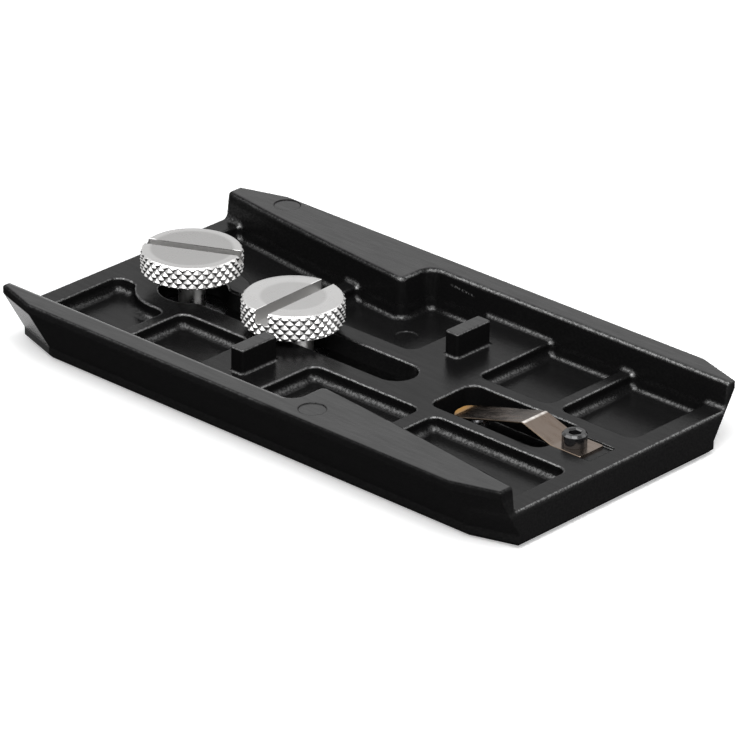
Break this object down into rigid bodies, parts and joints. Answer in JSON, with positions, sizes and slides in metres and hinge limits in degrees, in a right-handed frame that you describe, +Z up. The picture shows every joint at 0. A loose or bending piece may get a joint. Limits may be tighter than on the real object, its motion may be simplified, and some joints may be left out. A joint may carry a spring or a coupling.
{
  "type": "tripod quick release plate",
  "caption": "Black cast dovetail plate, underside up, with bright knurled camera screws in a keyhole slot, a bronze leaf spring over a sprung locating pin and rubber pads below.",
  "frame": {"origin": "on the table under the middle of the plate, level with the grip pads and the screw tips", "axes": "+X along the rails towards the leaf spring, +Z up out of the tripod side"},
  "size_m": [0.12, 0.0672, 0.0156],
  "materials": {
    "black_casting": "satin black coating on die cast aluminium, slightly grained",
    "pad_rubber": "matt black rubber",
    "bright_plating": "bright nickel plating, turned faces, diamond knurl",
    "washer_steel": "plain zinc plated steel",
    "spring_bronze": "rolled bronze strip, slightly tarnished",
    "black_screw": "black oxide steel"
  },
  "bodies": {
    "plate": {"plate_body": "black_casting", "near_grip_pad": "pad_rubber", "far_grip_pad": "pad_rubber", "leaf_spring": "spring_bronze", "spring_screw": "black_screw"},
    "left_retainer": {"left_retaining_washer": "washer_steel"},
    "left_lift": {"left_head_washer": "washer_steel"},
    "left_screw": {"left_camera_screw": "bright_plating"},
    "right_retainer": {"right_retaining_washer": "washer_steel"},
    "right_lift": {"right_head_washer": "washer_steel"},
    "right_screw": {"right_camera_screw": "bright_plating"},
    "pin": {"video_pin": "washer_steel"}
  },
  "joints": [
    {"name": "left_slide", "type": "slide", "parent": "plate", "child": "left_retainer", "axis": [1, 0, 0], "range_m": [0, 0.003]},
    {"name": "left_lower", "type": "slide", "parent": "left_retainer", "child": "left_lift", "axis": [0, 0, -1], "range_m": [0, 0.0035]},
    {"name": "left_turn", "type": "hinge", "parent": "left_lift", "child": "left_screw", "pos_m": [-0.0425, 0, 0.0135], "axis": [0, 0, 1], "continuous": true},
    {"name": "right_slide", "type": "slide", "parent": "plate", "child": "right_retainer", "axis": [1, 0, 0], "range_m": [-0.0031, 0.025]},
    {"name": "right_lower", "type": "slide", "parent": "right_retainer", "child": "right_lift", "axis": [0, 0, -1], "range_m": [0, 0.00145]},
    {"name": "right_turn", "type": "hinge", "parent": "right_lift", "child": "right_screw", "pos_m": [-0.01715, 0, 0.0118], "axis": [0, 0, 1], "continuous": true},
    {"name": "pin_out", "type": "slide", "parent": "plate", "child": "pin", "axis": [0, 0, -1], "range_m": [0, 0.0021], "stiffness_N_per_m": 60, "springref_m": 0.0085, "deforming": ["leaf_spring"]}
  ]
}
